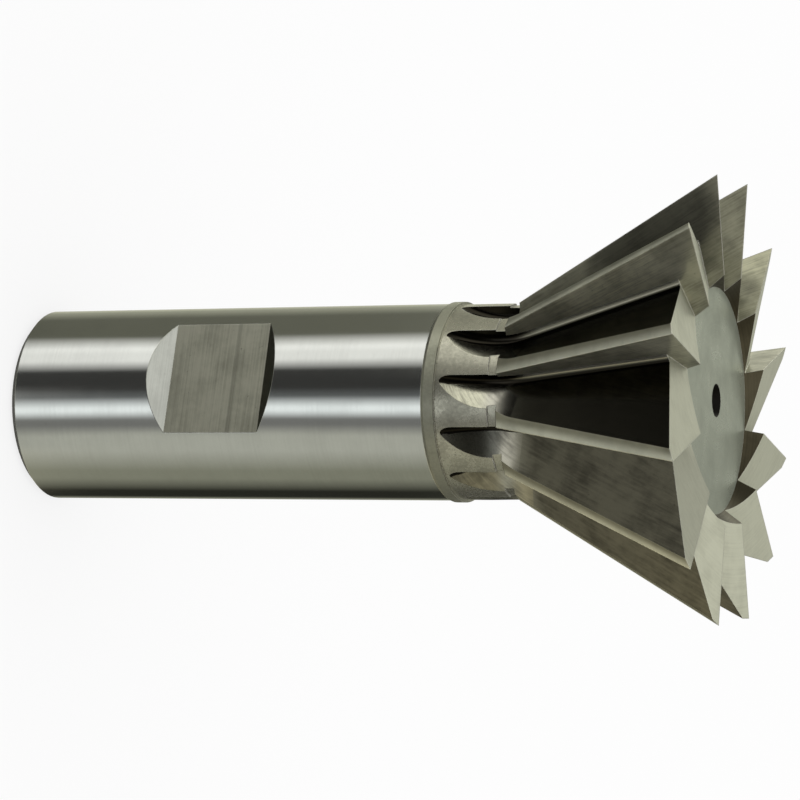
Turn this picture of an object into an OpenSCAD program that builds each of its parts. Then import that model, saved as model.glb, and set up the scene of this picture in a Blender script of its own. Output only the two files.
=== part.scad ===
// Dovetail milling cutter: straight teeth on a 60 degree conical head, with a plain shank and a drive flat.
// It is ground from one bar of steel. It stands on the end of its shank, with its axis along +Z, its teeth
// at the top and its drive flat facing -Y. The origin is the centre of the shank's end face.

/* [Shank] */
// Diameter of the ground shank
shank_d = 25.4; // [22:0.1:32]
// Length of the ground shank
shank_len = 58.3; // [50:0.1:75]
// Chamfer round the end of the shank
shank_chamfer = 0.9; // [0.4:0.1:2]

/* [Drive flat] */
// Length of the flat's floor along the shank
flat_len = 13.2; // [8:0.1:18]
// Depth of the floor below the shank's surface
flat_depth = 2.4; // [1.2:0.1:3]
// Height of the middle of the flat above the end of the shank
flat_z = 29; // [22:0.5:36]
// Slope of the ramp at each end of the flat, in degrees
flat_ramp = 45; // [35:1:60]

/* [Neck] */
// Diameter of the neck between the shank and the head
neck_d = 25.2; // [22:0.1:30]
// Length of the plain part of the neck
neck_len = 7; // [6:0.1:14]
// Width of the collar band where the grinding of the shank stops
collar_w = 1.7; // [1:0.1:4]
// Height of the collar band above the shank's surface
collar_rise = 0.25; // [0.1:0.05:0.6]
// Length of the slope from the shank up to the collar band
collar_ramp = 0.4; // [0.2:0.05:0.8]
// Width of the groove at the foot of the head, where the grinding of the lands runs out
groove_w = 1.25; // [1:0.05:2]
// Depth of that groove below the neck's surface
groove_depth = 0.25; // [0.1:0.05:0.6]

/* [Head] */
// Diameter over the tips of the teeth
cutter_d = 57.15; // [50:0.05:70]
// Angle of the dovetail that is cut, in degrees
dovetail_angle = 60; // [55:1:65]
// Height of the foot of the cutting edges above the neck's surface
foot_rise = 0.4; // [0.2:0.1:1]
// Number of teeth
teeth = 12; // [10:1:14]
// Turn of the first tooth from +X about the axis, in degrees
tooth_phase = 3; // [0:0.5:30]
// Width of the land behind each cutting edge, at the tip
land_w = 1.45; // [1:0.05:2.2]
// Relief of the land behind its cutting edge, in degrees
land_relief = 7; // [4:1:10]

/* [Gullets] */
// Depth of the gullet below the tips of the teeth, at the front
gullet_depth_front = 7.7; // [6:0.1:9]
// Depth of the gullet below the foot of the cutting edges
gullet_depth_foot = 2.6; // [2:0.1:3.5]
// Radius in the bottom of the gullet
gullet_root_r = 0.8; // [0.4:0.1:1.2]
// Radius of the milling wheel, which the gullet's run-out in the neck copies
wheel_r = 12; // [9:0.5:18]
// Distance from the collar band to the point where the gullet runs out
runout_gap = 0.6; // [0.5:0.1:1.5]

/* [Front] */
// Slope of the end faces behind their cutting edges, in degrees
end_relief = 16.5; // [10:0.5:20]
// Diameter of the front recess, at the inner ends of the end cutting edges
recess_d = 32; // [28:0.5:36]
// Diameter of the recess's floor
recess_floor_d = 28.4; // [24:0.2:32]
// Depth of the recess's floor below the end cutting edges
recess_depth = 2.2; // [1.6:0.1:4]

/* [Centre holes] */
// Diameter of the centre hole in the recess's floor
front_centre_d = 4.2; // [3:0.1:8]
// Diameter of the centre hole in the end of the shank
rear_centre_d = 6; // [4:0.1:10]
// Diameter of the pilot hole at the bottom of both centre holes
pilot_d = 2; // [1:0.1:2.8]
// Length of the pilot hole
pilot_len = 3; // [1:0.1:6]
// Angle of both countersinks, in degrees
centre_angle = 60; // [50:1:90]

/* [Hidden] */
$fn = 128;

// Steel that is cut away past each finished surface, so that no cut ends on another one
over = 1;

shank_r = shank_d / 2;
neck_r = neck_d / 2;
collar_r = shank_r + collar_rise;
groove_r = neck_r - groove_depth;
foot_r = neck_r + foot_rise;
tip_r = cutter_d / 2;

// The head's half angle to the axis, and its length from the foot to the tips of the teeth
cone_angle = 90 - dovetail_angle;
head_len = (tip_r - foot_r) * tan(dovetail_angle);
edge_len = (tip_r - foot_r) / sin(cone_angle);

collar_z = shank_len + collar_w;
groove_z = collar_z + neck_len;
foot_z = groove_z + groove_w;
tool_len = foot_z + head_len;
floor_z = tool_len - recess_depth;

pitch = 360 / teeth;

// Where the blank's outline starts its turn, from +X: the seam is away from the flat
blank_start = 127.5;

// The gullet's bottom line in the plane of the tooth's face: radius at the front, and slope to the axis
root_front_r = tip_r - gullet_depth_front;
root_foot_r = foot_r - gullet_depth_foot;
root_angle = atan2(root_front_r - root_foot_r, head_len);
gullet_h = gullet_depth_front + 3 * over;

// Where the gullet runs out of the neck, along the bottom line and above it, from the line's front end
runout_dr = neck_r - root_front_r;
runout_dz = collar_z + runout_gap - tool_len;
runout_u = runout_dr * sin(root_angle) + runout_dz * cos(root_angle);
runout_n = runout_dr * cos(root_angle) - runout_dz * sin(root_angle);
// Length of the straight bottom line, up to where the milling wheel stopped
gullet_run = -runout_u - sqrt(runout_n * (2 * wheel_r - runout_n));

// The heel of the next tooth's land at its tip, which the back wall of the gullet passes through
heel_drop = land_w * tan(land_relief);
heel_along_r = tip_r - heel_drop * cos(cone_angle);
heel_x = heel_along_r * cos(pitch) + land_w * sin(pitch);
heel_y = heel_along_r * sin(pitch) - land_w * cos(pitch);
heel_dz = heel_drop * sin(cone_angle);
heel_n = (heel_x - root_front_r) * cos(root_angle) - heel_dz * sin(root_angle);
// Slope of the back wall: the line through the heel that touches the root radius
back_dy = heel_y - gullet_root_r;
back_dn = heel_n - gullet_root_r;
back_angle = atan2(back_dn, back_dy) + asin(gullet_root_r / norm([back_dy, back_dn]));

// Reach of the cuts for the lands and for the end faces
land_reach = tip_r * sin(pitch) / 3;
end_reach = 2 * tip_r;

// Places a section in the plane of a tooth's face, on a line that leans from the axis by an angle.
// The section's X is the way the tooth cuts, its Y is outwards, and it is extruded down the line.
module on_face_line(r, z, lean) {
    translate([r, 0, z]) rotate([0, lean, 0]) rotate([180, 0, 90]) children();
}

// Copies a cut to every tooth
module each_tooth() {
    for (i = [0 : teeth - 1]) rotate(tooth_phase + i * pitch) children();
}

// The turned blank, with spare steel on the head where the lands and end faces are ground
module blank() {
    lean = tan(cone_angle);
    wall_lean = (recess_d - recess_floor_d) / 2 / recess_depth;
    rotate(blank_start) rotate_extrude() polygon([
        [0, 0],
        [shank_r - shank_chamfer, 0],
        [shank_r, shank_chamfer],
        [shank_r, shank_len],
        [collar_r, shank_len + collar_ramp],
        [collar_r, collar_z],
        [neck_r, collar_z],
        [neck_r, groove_z],
        [groove_r, groove_z],
        [groove_r, foot_z],
        [foot_r + over, foot_z],
        [tip_r + over + over * lean, tool_len + over],
        [recess_d / 2 + over * wall_lean, tool_len + over],
        [recess_floor_d / 2, floor_z],
        [0, floor_z]
    ]);
}

// Section of a gullet: the tooth's face on the left, the root radius, and the next tooth's back
module gullet_section(height) {
    touch_x = gullet_root_r * (1 + sin(back_angle));
    touch_y = gullet_root_r * (1 - cos(back_angle));
    top_x = touch_x + (height - touch_y) / tan(back_angle);
    translate([gullet_root_r, gullet_root_r]) circle(gullet_root_r);
    polygon([[0, gullet_root_r], [0, height], [top_x, height], [touch_x, touch_y]]);
}

// One gullet: a straight cut down the head, which ends in the neck in the round shape of the wheel
module gullet() {
    on_face_line(root_front_r, tool_len, root_angle) {
        translate([0, 0, -gullet_h]) linear_extrude(gullet_h + gullet_run) gullet_section(gullet_h);
        translate([0, wheel_r, gullet_run]) rotate([0, 90, 0])
            rotate_extrude() translate([wheel_r, 0]) rotate(90) gullet_section(wheel_r);
    }
}

// Steel ground off above one land, from past the tip to the groove at the foot
module land_cut() {
    rise = tan(land_relief);
    on_face_line(tip_r, tool_len, cone_angle)
        translate([0, 0, -4 * over]) linear_extrude(4 * over + edge_len + groove_w / 2) polygon([
            [over, over * rise],
            [over, 3 * over],
            [-land_reach, 3 * over],
            [-land_reach, -land_reach * rise]
        ]);
}

// The end gash in front of one tooth: the tooth's face on one side, the next tooth's end face on the other
module gash() {
    drop = end_reach * tan(end_relief);
    intersection() {
        translate([0, 0, tool_len - drop]) cube([end_reach, end_reach, drop + 2 * over]);
        rotate(pitch) translate([0, 0, tool_len]) rotate([90, 0, 90]) linear_extrude(end_reach) polygon([
            [over, over * tan(end_relief)],
            [over, 3 * over],
            [-end_reach, 3 * over],
            [-end_reach, -drop]
        ]);
    }
}

// The drive flat across the shank, with a ramp at each end
module flat_cut() {
    floor_y = shank_r - flat_depth;
    depth = flat_depth + over;
    ramp = depth / tan(flat_ramp);
    translate([-shank_r, -floor_y, flat_z]) rotate([90, 0, 90]) linear_extrude(shank_d) polygon([
        [0, -flat_len / 2],
        [0, flat_len / 2],
        [-depth, flat_len / 2 + ramp],
        [-depth, -flat_len / 2 - ramp]
    ]);
}

// A countersunk centre hole that goes down from the origin
module centre_hole(d) {
    sink = (d - pilot_d) / 2 / tan(centre_angle / 2);
    lip = over * tan(centre_angle / 2);
    translate([0, 0, -sink]) cylinder(h = sink + over, r1 = pilot_d / 2, r2 = d / 2 + lip);
    translate([0, 0, -sink - pilot_len]) cylinder(h = sink + pilot_len, d = pilot_d);
}

// The whole cutter
module cutter() {
    color("#a9a697") difference() {
        blank();
        flat_cut();
        each_tooth() {
            gullet();
            gash();
            land_cut();
        }
        translate([0, 0, floor_z]) centre_hole(front_centre_d);
        rotate([180, 0, 0]) centre_hole(rear_centre_d);
    }
}

cutter();
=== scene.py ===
"""Looks of the dovetail cutter: ground, turned and milled steel on a pale studio floor."""

import math

import bpy
from mathutils import Matrix, Vector

MM = 0.001
WHITE = (1.0, 1.0, 1.0, 1.0)

# Sizes that tell the surfaces of the cutter apart, in millimetres. Heights are above the end of the shank.
CHAMFER = 0.9
SHANK_LEN = 58.3
FLAT_LOW = 19.0
FLAT_HIGH = 39.0
FLAT_Y = 10.3
COLLAR_Z = 60.0
NECK_R = 12.2
FOOT_Z = 68.25
LAND_LOW = 67.25
RECESS_LOW = 88.0
RECESS_R = 16.0
HOLE_R = 3.2
# The teeth: half angle of the cone, angle from tooth to tooth, and angle of the first one, in degrees
CONE_ANGLE = 30.0
PITCH = 30.0
TOOTH_PHASE = 3.0
# How far the normals of some surfaces point up. A level face points up or down by more than LEVEL.
LAND_LEAN = -0.496
END_LEAN = 0.959
CHAMFER_LEAN = -0.3
SLOPE_LEAN = 0.5
STEP_LEAN = 0.9
LEVEL = 0.99
# How far the normals point away from the axis, on the neck at least and on the teeth's faces at most
NECK_OUTWARD = 0.99
RAKE_OUTWARD = 0.05
# Room for rounding when a height or a normal is compared
NEAR = 0.02

# The camera, in millimetres: where it stands, the way it looks and the way that is up in the picture
CAMERA_PLACE = (112.4, -332.0, 186.8)
CAMERA_LOOK = (-0.2997, 0.8825, -0.3620)
CAMERA_UP = (-0.9478, -0.3187, 0.0060)
LENS = 130.0
SENSOR = 36.0

# The studio round the cutter, as steel mirrors it: layers from straight down to straight up, each with
# bands of light and shade. A band has its first and last angle in degrees, its brightness and its tint.
# Angles start at CAMERA_PLACE and go clockwise, seen from above. The bands blend, and they keep their
# place in every view.
NEUTRAL = (1.00, 1.00, 0.96)
WARM = (1.00, 1.01, 0.88)
COOL = (0.97, 1.02, 1.02)
OLIVE = (1.00, 1.01, 0.78)
BROWN = (1.00, 0.93, 0.66)
DEEP = [
    (-180, -150, 0.03, WARM),
    (-125, -100, 0.14, WARM),
    (-65, 20, 0.36, WARM),
    (90, 100, 0.22, WARM),
    (140, 180, 0.02, WARM),
]
BELOW = [
    (-180, -160, 0.08, BROWN),
    (-130, -62, 0.68, BROWN),
    (-50, -18, 0.25, WARM),
    (-8, 14, 0.95, NEUTRAL),
    (24, 40, 0.08, NEUTRAL),
    (54, 64, 0.85, NEUTRAL),
    (79, 125, 0.00, WARM),
    (140, 150, 0.30, WARM),
    (170, 180, 0.08, WARM),
]
BELT = [
    (-180, -165, 0.25, OLIVE),
    (-152, -130, 0.025, OLIVE),
    (-102, -88, 0.27, OLIVE),
    (-58, -40, 0.50, WARM),
    (-26, -19, 0.21, NEUTRAL),
    (-9, -5, 1.10, COOL),
    (8, 10, 0.12, COOL),
    (18, 40, 0.045, NEUTRAL),
    (54, 64, 1.02, NEUTRAL),
    (69, 72, 1.14, NEUTRAL),
    (91, 128, 0.145, OLIVE),
    (147, 150, 0.34, OLIVE),
    (165, 180, 0.55, OLIVE),
]
ABOVE = [
    (-180, -150, 0.33, WARM),
    (-95, -80, 0.08, WARM),
    (-60, -42, 0.33, BROWN),
    (-28, 26, 0.02, WARM),
    (34, 38, 0.60, WARM),
    (55, 75, 1.25, WARM),
    (94, 100, 1.00, WARM),
    (150, 155, 1.30, WARM),
    (165, 180, 0.60, WARM),
]
UPPER = [
    (-180, -150, 0.32, WARM),
    (-110, -60, 0.33, BROWN),
    (-45, 110, 0.05, WARM),
    (150, 172, 0.18, WARM),
    (178, 180, 0.45, WARM),
]
OVERHEAD = [
    (-180, 180, 0.95, NEUTRAL),
]
LAYERS = [DEEP, BELOW, BELT, ABOVE, UPPER, OVERHEAD]
# Heights on a unit ball between which each layer blends into the next one
JOINS = [(-0.82, -0.70), (-0.58, -0.46), (-0.36, -0.20), (0.22, 0.58), (0.60, 0.85)]
FULL_TURN = 360
HALF = 0.5
# Share of the light that is left after steel has mirrored it twice: oil and oxide dull the gullets, which
# open downwards. Light from above keeps its strength. The depth is the number of surfaces that a ray met.
SECOND_MIRROR = 0.05
SECOND_DEPTH = (2.0, 3.0)
SECOND_FADE = (-0.35, -0.10)

FLOOR_SIZE = 6.0
FLOOR_COLOUR = (0.93, 0.93, 0.93, 1.0)
# Share of the floor that is plain white to the camera. The rest takes the cutter's shadow.
FLOOR_GLOW = 0.78

# How close tool marks lie, in marks per millimetre: as a grain, across the axis, off and along a tooth's
# cutting edge, with a shift from tooth to tooth, and in rings, by radius and by height
GRAIN_MARKS = (2.5, 2.5, 2.5)
ACROSS_MARKS = (0.06, 0.06, 5.0)
ALONG_MARKS = (4.0, 0.12)
ALONG_SHIFT = (0.35, 0.2, 0.0)
RING_MARKS = (5.0, 2.0)
MARK_DEPTH = 0.03
# Scale, detail and roughness of the noise for marks, clouds and specks
MARK_NOISE = (1.0, 4.0, 0.65)
CLOUD_NOISE = (0.22, 4.0, 0.6)
SPECK_NOISE = (1.7, 3.0, 0.7)
# Ranges of the noise that stains, roughness and specks use
STAIN_RANGE = (0.32, 0.62)
ROUGH_RANGE = (0.3, 0.7)
SPECK_RANGE = (0.66, 0.74)
CLOUD_SHARE = 0.6
MARK_SHARE = 0.4
STAIN_DARKER = 2.2
SPECK_SHADE = 0.35
ROUGHEST = 1.25
SMOOTHEST = 0.8

# Edges are painted bright, partly as wear and partly as a painted highlight. Widths are in millimetres, and
# the range is how far the rounded normal turns away.
WORN_EDGE_HIGHLIGHT_COLOUR = (0.85, 0.84, 0.77, 1.0)
WORN_EDGE_HIGHLIGHT_SHARE = 0.6
WORN_EDGE_HIGHLIGHT_RANGE = (0.02, 0.25)
EDGE_W = 0.12
TOOTH_EDGE_W = 0.22
SOFT_EDGE_W = 0.06
EDGE_SAMPLES = 6

# A line scored across the drive flat: its height, its width and how dark it is
SCORE_Z = 31.4
SCORE_W = 0.35
SCORE_SHADE = 0.35

# The gullets are painted dark with shade, together with oil and oxide. Their back walls are brighter and
# rougher near the foot, where the milling wheel ran out
FOOT_FADE = (66.5, 73.5)
FOOT_GAIN = (2.8, 2.9, 3.1, 1.0)
FOOT_ROUGHER = 1.4
# The root is painted dark with shade. It starts where the normals turn from the back wall towards the way
# that the tooth's face looks.
WALL_SIDE = (-0.31, -0.17)
PAINTED_ROOT_SHADE = (0.028, 0.025, 0.020, 1.0)
# A painted highlight makes the root bright again where it runs into the tooth's face, apart from the foot
FACE_SIDE = (0.35, 0.80)
FACE_FADE = (69.0, 73.5)
PAINTED_ROOT_HIGHLIGHT = (0.42, 0.41, 0.33, 1.0)
ROOT_HIGHLIGHT_METAL = 0.55

# The lands carry a painted highlight along the cutting edge and painted shade at the heel. The nudge is in
# radians.
LAND_W = 1.3
LAND_NUDGE = 0.002
LAND_EDGE_HIGHLIGHT_GAIN = (1.32, 1.31, 1.27, 1.0)
LAND_HEEL_SHADE_GAIN = (0.53, 0.51, 0.45, 1.0)

# Painted light and shade on single teeth, on their faces and on their ends: the middle of each and the radii
# between which it fades out, in millimetres, its brightness next to the plain steel, and its share in the
# middle
FACE_LIGHT_AND_SHADE_PATCHES = [
    ((-19.3, -12.4, 86.0), (6.5, 11.5), 0.32, 0.92),
    ((-10.4, -20.5, 82.0), (6.0, 11.5), 1.85, 0.95),
    ((1.2, -23.0, 85.0), (6.0, 11.0), 1.50, 0.60),
    ((-23.6, 12.0, 93.5), (2.0, 5.0), 1.50, 0.80),
    ((-17.8, 9.1, 92.0), (1.5, 4.0), 0.60, 0.70),
]
END_SHADE_PATCHES = [
    ((17.5, -12.5, 94.4), (6.5, 9.0), 0.76, 1.00),
]

# Places of the colours among the sockets of a Mix node
MIX_FIRST = 6
MIX_SECOND = 7
MIX_RESULT = 2


class Tree:
    """A node tree that nodes are added to in one call each."""

    def __init__(self, owner):
        owner.use_nodes = True
        self.tree = owner.node_tree
        self.tree.nodes.clear()

    def add(self, kind, settings=None, **inputs):
        """Adds a node. Inputs go by name, or by number as i0, i1 and so on. Each is a value, or another
        node's output that is linked to it."""
        node = self.tree.nodes.new(kind)
        for name, value in (settings or {}).items():
            setattr(node, name, value)
        for name, value in inputs.items():
            by_number = name[0] == "i" and name[1:].isdigit()
            key = int(name[1:]) if by_number else name.replace("_", " ")
            self.set(node.inputs[key], value)
        return node

    def set(self, socket, value):
        """Links an output to a socket, or gives the socket a value."""
        if isinstance(value, bpy.types.NodeSocket):
            self.tree.links.new(value, socket)
        else:
            socket.default_value = value

    def math(self, operation, first, second=0.0):
        """Result of one operation on numbers."""
        return self.add("ShaderNodeMath", {"operation": operation}, i0=first, i1=second).outputs[0]

    def vector(self, operation, first, second=(0, 0, 0)):
        """Result of one operation on vectors, a number or a vector."""
        node = self.add("ShaderNodeVectorMath", {"operation": operation}, i0=first, i1=second)
        return node.outputs["Value" if operation in ("DOT_PRODUCT", "LENGTH") else "Vector"]

    def combine(self, x, y, z):
        """A vector from three numbers."""
        return self.add("ShaderNodeCombineXYZ", X=x, Y=y, Z=z).outputs[0]

    def axes(self, vector):
        """The three numbers of a vector, by the names X, Y and Z."""
        return self.add("ShaderNodeSeparateXYZ", Vector=vector).outputs

    def spread(self, value, low, high, out_low=0.0, out_high=1.0):
        """Maps a range of values smoothly to another range."""
        node = self.add("ShaderNodeMapRange", {"interpolation_type": "SMOOTHSTEP"}, Value=value)
        ends = {"From Min": low, "From Max": high, "To Min": out_low, "To Max": out_high}
        for name, number in ends.items():
            self.set(node.inputs[name], number)
        return node.outputs[0]

    def mix(self, factor, first, second, blend="MIX"):
        """Mix of two colours."""
        node = self.add("ShaderNodeMix", {"data_type": "RGBA", "blend_type": blend}, i0=factor)
        self.set(node.inputs[MIX_FIRST], first)
        self.set(node.inputs[MIX_SECOND], second)
        return node.outputs[MIX_RESULT]

    def tint(self, colour, gain):
        """A colour that is made brighter or darker by another one."""
        return self.mix(1.0, colour, gain, "MULTIPLY")

    def noise(self, vector, scale, detail, roughness):
        """Noise from 0 to 1."""
        inputs = {"Vector": vector, "Scale": scale, "Detail": detail, "Roughness": roughness}
        return self.add("ShaderNodeTexNoise", **inputs).outputs[0]


def add_camera():
    """Camera at the photograph's viewing angle. It lies on its side, because the cutter stands upright."""
    look = Vector(CAMERA_LOOK).normalized()
    right = look.cross(Vector(CAMERA_UP)).normalized()
    up = right.cross(look)
    data = bpy.data.cameras.new("camera")
    data.lens = LENS
    data.sensor_width = SENSOR
    camera = bpy.data.objects.new("camera", data)
    turn = Matrix((right, up, -look)).transposed()
    camera.matrix_world = Matrix.Translation(Vector(CAMERA_PLACE) * MM) @ turn.to_4x4()
    bpy.context.scene.collection.objects.link(camera)
    bpy.context.scene.camera = camera


def band_ramp(tree, position, bands):
    """Colour of the bands at a position from 0 to 1 round the cutter."""
    ramp = tree.add("ShaderNodeValToRGB", Fac=position)
    stops = ramp.color_ramp.elements
    edges = [(angle, level, tint) for first, last, level, tint in bands for angle in (first, last)]
    while len(stops) < len(edges):
        stops.new(HALF)
    for stop, (angle, level, tint) in zip(stops, edges):
        stop.position = angle / FULL_TURN + HALF
        stop.color = [level * part for part in tint] + [1.0]
    return ramp.outputs["Color"]


def add_studio():
    """World: white for the camera and for matt surfaces, and bands of light and shade for steel."""
    world = bpy.data.worlds.new("studio")
    bpy.context.scene.world = world
    world.cycles.sampling_method = "NONE"
    tree = Tree(world)
    way = tree.add("ShaderNodeTexCoord").outputs["Generated"]
    ahead = Vector((CAMERA_PLACE[0], CAMERA_PLACE[1], 0)).normalized()
    aside = Vector((ahead.y, -ahead.x, 0))
    along_ahead = tree.vector("DOT_PRODUCT", way, ahead)
    along_aside = tree.vector("DOT_PRODUCT", way, aside)
    turned = tree.combine(along_ahead, along_aside, 0.0)
    around = tree.add("ShaderNodeTexGradient", {"gradient_type": "RADIAL"}, Vector=turned).outputs[1]
    height = tree.axes(way)["Z"]
    bands = band_ramp(tree, around, LAYERS[0])
    for layer, join in zip(LAYERS[1:], JOINS):
        bands = tree.mix(tree.spread(height, *join), bands, band_ramp(tree, around, layer))
    path = tree.add("ShaderNodeLightPath").outputs
    colour = tree.mix(path["Is Glossy Ray"], WHITE, bands)
    second = tree.spread(path["Ray Depth"], *SECOND_DEPTH, 1.0, SECOND_MIRROR)
    upward = tree.math("MULTIPLY", tree.spread(height, *SECOND_FADE), path["Is Glossy Ray"])
    strength = tree.math("MAXIMUM", second, upward)
    background = tree.add("ShaderNodeBackground", Color=colour, Strength=strength)
    tree.add("ShaderNodeOutputWorld", Surface=background.outputs[0])


def add_floor():
    """Pale floor, which steel doesn't mirror: it shows the studio's bands instead."""
    bpy.ops.mesh.primitive_plane_add(size=FLOOR_SIZE)
    floor = bpy.context.object
    floor.name = "floor"
    material = bpy.data.materials.new("floor")
    tree = Tree(material)
    matt = tree.add("ShaderNodeBsdfDiffuse", Color=FLOOR_COLOUR).outputs[0]
    glow = tree.add("ShaderNodeEmission", Strength=1.0).outputs[0]
    path = tree.add("ShaderNodeLightPath").outputs
    share = tree.math("MULTIPLY", path["Is Camera Ray"], FLOOR_GLOW)
    surface = tree.add("ShaderNodeMixShader", Fac=share, i1=matt, i2=glow).outputs[0]
    tree.add("ShaderNodeOutputMaterial", Surface=surface)
    floor.data.materials.append(material)
    floor.visible_glossy = False


def finish_place(tree, place, finish):
    """Place in the noise for tool marks: a grain, or lines across the axis, along the teeth or in rings."""
    if finish == "grain":
        return tree.vector("MULTIPLY", place, GRAIN_MARKS)
    if finish == "across":
        return tree.vector("MULTIPLY", place, ACROSS_MARKS)
    axes = tree.axes(place)
    radius = tree.vector("LENGTH", tree.combine(axes["X"], axes["Y"], 0.0))
    if finish == "along":
        lean = math.radians(CONE_ANGLE)
        section = tree.combine(radius, axes["Z"], 0.0)
        off_edge = tree.vector("DOT_PRODUCT", section, (math.cos(lean), -math.sin(lean), 0))
        on_edge = tree.vector("DOT_PRODUCT", section, (math.sin(lean), math.cos(lean), 0))
        first = tree.math("MULTIPLY", off_edge, ALONG_MARKS[0])
        second = tree.math("MULTIPLY", on_edge, ALONG_MARKS[1])
        return tree.combine(first, second, tree.vector("DOT_PRODUCT", place, ALONG_SHIFT))
    first = tree.math("MULTIPLY", radius, RING_MARKS[0])
    return tree.combine(first, tree.math("MULTIPLY", axes["Z"], RING_MARKS[1]), 0.0)


def facing(tree, axes, ahead, nudge=0.0):
    """The way that a tooth's face looks: the face that a point's gullet starts at, or one further ahead.
    The nudge, in radians, keeps points on a face with the tooth behind it."""
    phase = math.radians(TOOTH_PHASE)
    pitch = math.radians(PITCH)
    turn = tree.math("SUBTRACT", tree.math("ARCTAN2", axes["Y"], axes["X"]), phase + nudge)
    whole = tree.math("FLOOR", tree.math("DIVIDE", turn, pitch))
    face = tree.math("ADD", tree.math("MULTIPLY", whole, pitch), phase + ahead * pitch)
    minus_sine = tree.math("MULTIPLY", tree.math("SINE", face), -1.0)
    return tree.combine(minus_sine, tree.math("COSINE", face), 0.0)


def land_painted_light(tree, axes, place):
    """How bright a land is painted, from painted shade at its heel to a painted highlight at its cutting
    edge.
    """
    ahead_of_face = tree.vector("DOT_PRODUCT", place, facing(tree, axes, 1, LAND_NUDGE))
    return tree.mix(tree.spread(ahead_of_face, -LAND_W, 0.0), LAND_HEEL_SHADE_GAIN, LAND_EDGE_HIGHLIGHT_GAIN)


def gullet_looks(tree, base, metal, axes, normal):
    """Colour and metal share of a gullet: its back wall with the foot, its root with painted shade, and the
    root by the face with a painted highlight.
    """
    height = axes["Z"]
    base = tree.tint(base, tree.mix(tree.spread(height, *FOOT_FADE), FOOT_GAIN, WHITE))
    side = tree.vector("DOT_PRODUCT", normal, facing(tree, axes, 0))
    # Painted shade in the root
    base = tree.mix(tree.spread(side, *WALL_SIDE), base, PAINTED_ROOT_SHADE)
    # Painted highlight on the root where it runs into the tooth's face
    root_highlight_share = tree.math("MULTIPLY", tree.spread(side, *FACE_SIDE), tree.spread(height, *FACE_FADE))
    base = tree.mix(root_highlight_share, base, PAINTED_ROOT_HIGHLIGHT)
    return base, tree.spread(root_highlight_share, 0.0, 1.0, metal, ROOT_HIGHLIGHT_METAL)


def with_painted_light(tree, base, place, patches):
    """Colour with patches of painted light and shade on it."""
    for middle, edges, lighter, share in patches:
        away = tree.vector("LENGTH", tree.vector("SUBTRACT", place, middle))
        patch = tree.spread(away, *edges, share, 0.0)
        base = tree.mix(patch, base, tree.tint(base, [lighter] * 3 + [1.0]))
    return base


def steel(name, colour, roughness, finish, marks, stain, specks, metal=1.0, edge=EDGE_W,
          scored=False, gullet=False, land=False, patches=()):
    """Steel with fine tool marks, faint stains, specks, and worn edges with a painted highlight. Marks, stain
    and specks are strengths. It may have a scored line, the looks of a gullet or of a land with painted light
    and shade, or patches of painted light and shade."""
    material = bpy.data.materials.new(name)
    tree = Tree(material)
    place = tree.vector("SCALE", tree.add("ShaderNodeTexCoord").outputs["Object"])
    place.node.inputs["Scale"].default_value = 1 / MM
    axes = tree.axes(place)
    height = axes["Z"]
    normal = tree.add("ShaderNodeNewGeometry").outputs["Normal"]

    lines = tree.noise(finish_place(tree, place, finish), *MARK_NOISE)
    cloud = tree.math("MULTIPLY", tree.noise(place, *CLOUD_NOISE), CLOUD_SHARE)
    shade = tree.math("ADD", cloud, tree.math("MULTIPLY", lines, MARK_SHARE))
    dark = [part * (1 - STAIN_DARKER * stain) for part in colour] + [1.0]
    light = [min(part * (1 + stain), 1.0) for part in colour] + [1.0]
    base = tree.mix(tree.spread(shade, *STAIN_RANGE), dark, light)
    spots = tree.spread(tree.noise(place, *SPECK_NOISE), *SPECK_RANGE)
    speck_colour = [part * SPECK_SHADE for part in colour] + [1.0]
    base = tree.mix(tree.math("MULTIPLY", spots, specks), base, speck_colour)
    rough = tree.spread(shade, *ROUGH_RANGE, roughness * ROUGHEST, roughness * SMOOTHEST)

    if gullet:
        base, metal = gullet_looks(tree, base, metal, axes, normal)
        rough = tree.math("MULTIPLY", rough, tree.spread(height, *FOOT_FADE, FOOT_ROUGHER, 1.0))
    if land:
        # Painted highlight along the land's cutting edge and painted shade at its heel
        base = tree.tint(base, land_painted_light(tree, axes, place))
    if scored:
        off_line = tree.math("ABSOLUTE", tree.math("SUBTRACT", height, SCORE_Z))
        base = tree.mix(tree.spread(off_line, SCORE_W / 2, SCORE_W, SCORE_SHADE, 0.0), base, speck_colour)
    # Painted light and shade on single teeth
    base = with_painted_light(tree, base, place, patches)

    rounded = tree.add("ShaderNodeBevel", {"samples": EDGE_SAMPLES}, Radius=edge * MM).outputs[0]
    bend = tree.math("SUBTRACT", 1.0, tree.vector("DOT_PRODUCT", rounded, normal))
    # Worn edges, with a painted highlight along them
    base = tree.mix(tree.spread(bend, *WORN_EDGE_HIGHLIGHT_RANGE, 0.0, WORN_EDGE_HIGHLIGHT_SHARE), base, WORN_EDGE_HIGHLIGHT_COLOUR)
    depth = MARK_DEPTH * MM
    bump = tree.add("ShaderNodeBump", Strength=marks, Distance=depth, Height=lines, Normal=rounded)
    surface = tree.add("ShaderNodeBsdfPrincipled", Base_Color=base, Metallic=metal, Roughness=rough)
    tree.set(surface.inputs["Normal"], bump.outputs[0])
    tree.add("ShaderNodeOutputMaterial", Surface=surface.outputs[0])
    return material


def shank_zone(centre, normal, radius):
    """Name of the surface that a face of the shank belongs to."""
    if radius < HOLE_R and normal.z > -LEVEL:
        return "hole"
    if centre.z < CHAMFER and normal.z < CHAMFER_LEAN:
        return "turned"
    if FLAT_LOW < centre.z < FLAT_HIGH and abs(normal.x) < NEAR:
        if abs(normal.z) > SLOPE_LEAN:
            return "ramp"
        if abs(centre.y + FLAT_Y) < NEAR:
            return "flat"
    return "ground"


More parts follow.
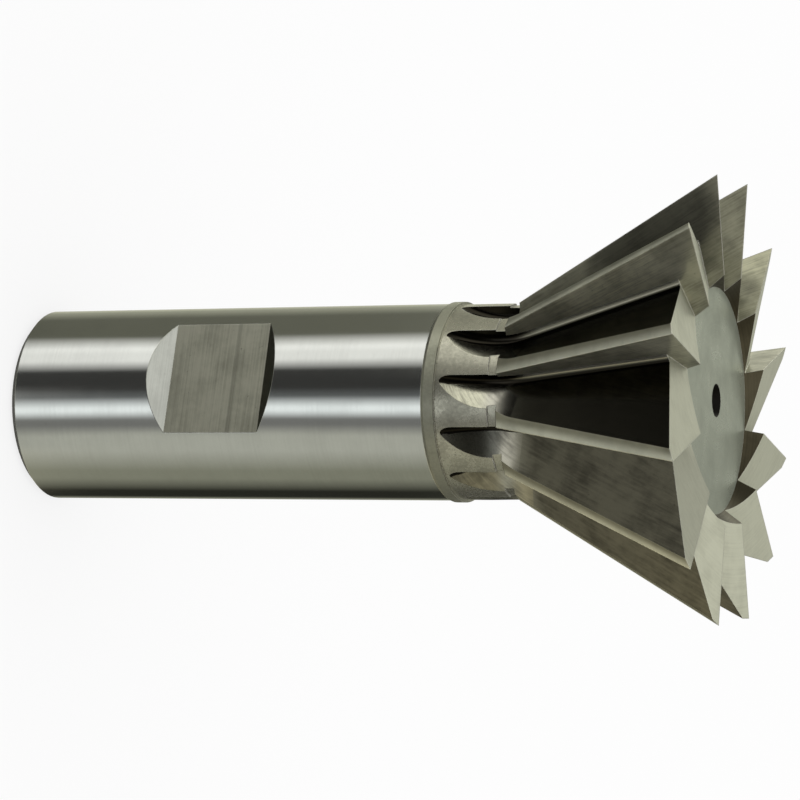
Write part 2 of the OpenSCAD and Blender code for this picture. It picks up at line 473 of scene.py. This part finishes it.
def zone_of(centre, normal):
    """Name of the surface that a face of the cutter belongs to, from its normal and its middle in
    millimetres."""
    radius = math.hypot(centre.x, centre.y)
    outward = (normal.x * centre.x + normal.y * centre.y) / max(radius, NEAR)
    if centre.z < SHANK_LEN:
        return shank_zone(centre, normal, radius)
    in_recess = normal.z > SLOPE_LEAN and centre.z > RECESS_LOW and radius < RECESS_R
    if in_recess and radius < HOLE_R and normal.z < LEVEL:
        return "hole"
    if abs(normal.z - END_LEAN) < NEAR:
        return "end"
    if in_recess:
        return "recess" if normal.z > LEVEL else "rim"
    if radius < HOLE_R:
        return "hole"
    if abs(normal.z - LAND_LEAN) < NEAR and centre.z > LAND_LOW:
        return "land"
    if centre.z < COLLAR_Z + NEAR:
        return "collar"
    if centre.z < FOOT_Z + NEAR and abs(normal.z) > STEP_LEAN:
        return "step"
    if centre.z < FOOT_Z + NEAR and radius > NECK_R and outward > NECK_OUTWARD:
        return "neck"
    if abs(normal.z) < NEAR and abs(outward) < RAKE_OUTWARD and centre.z > FOOT_Z:
        return "rake"
    return "gullet"


def make_finishes():
    """The finish of each surface. Each has its name, colour, roughness and kind of tool marks, and then the
    strength of its marks, stains and specks."""
    return {
        "ground": steel("ground_shank", (0.68, 0.69, 0.67), 0.10, "across", 0.02, 0.02, 0.10),
        "flat": steel("ground_flat", (0.465, 0.46, 0.395), 0.45, "across", 0.20, 0.13, 0.6, scored=True),
        "ramp": steel("ground_ramp", (0.50, 0.51, 0.475), 0.15, "across", 0.06, 0.05, 0.2),
        "turned": steel("turned_end", (0.52, 0.52, 0.48), 0.35, "ring", 0.25, 0.12, 0.3, metal=0.3),
        "collar": steel("turned_collar", (0.42, 0.42, 0.345), 0.45, "grain", 0.05, 0.08, 0.4,
                        metal=0.85, edge=SOFT_EDGE_W),
        "neck": steel("turned_neck", (0.555, 0.54, 0.45), 0.27, "grain", 0.04, 0.14, 0.8, metal=0.87),
        "step": steel("turned_step", (0.40, 0.39, 0.33), 0.50, "grain", 0.05, 0.10, 0.3, metal=0.0),
        # The gullet's dark colour is painted shade, together with oil and oxide
        "gullet": steel("gullet_milled_painted_shade_and_highlight", (0.165, 0.155, 0.125), 0.16, "along", 0.12, 0.22, 0.6, gullet=True),
        "rake": steel("milled_rake", (0.40, 0.39, 0.295), 0.34, "along", 0.18, 0.19, 0.4,
                      metal=0.66, edge=TOOTH_EDGE_W, patches=FACE_LIGHT_AND_SHADE_PATCHES),
        "land": steel("ground_land", (0.75, 0.755, 0.69), 0.35, "along", 0.10, 0.08, 0.3,
                      edge=TOOTH_EDGE_W, land=True),
        "end": steel("ground_end", (0.61, 0.615, 0.49), 0.45, "along", 0.08, 0.05, 0.2,
                     metal=0.7, edge=TOOTH_EDGE_W, patches=END_SHADE_PATCHES),
        "recess": steel("faced_recess", (0.385, 0.415, 0.335), 0.30, "ring", 0.08, 0.07, 0.3, metal=0.7),
        # The rim's dark colour is painted shade on the recess's sloping wall
        "rim": steel("rim_faced_painted_shade", (0.08, 0.07, 0.045), 0.35, "ring", 0.15, 0.12, 0.4),
        # The centre holes' near-black colour is painted shade
        "hole": steel("hole_drilled_painted_shade", (0.02, 0.018, 0.016), 0.45, "ring", 0.20, 0.15, 0.3),
    }


def dress(cutter):
    """Gives every surface of the cutter the finish that its machining left, with painted light and shade on
    some of them.
    """
    mesh = cutter.data
    mesh.materials.clear()
    order = {}
    for index, (zone, material) in enumerate(make_finishes().items()):
        mesh.materials.append(material)
        order[zone] = index
    for face in mesh.polygons:
        face.material_index = order[zone_of(face.center / MM, face.normal)]


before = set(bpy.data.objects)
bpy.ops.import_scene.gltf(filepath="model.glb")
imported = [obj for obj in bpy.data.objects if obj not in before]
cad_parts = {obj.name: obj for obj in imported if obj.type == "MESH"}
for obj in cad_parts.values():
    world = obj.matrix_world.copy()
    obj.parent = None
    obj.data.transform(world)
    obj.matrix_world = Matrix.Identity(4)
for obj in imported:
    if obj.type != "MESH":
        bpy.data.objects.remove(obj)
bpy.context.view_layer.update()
add_camera()
add_studio()
add_floor()
dress(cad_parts["cutter"])
bpy.context.scene.view_settings.view_transform = "Standard"
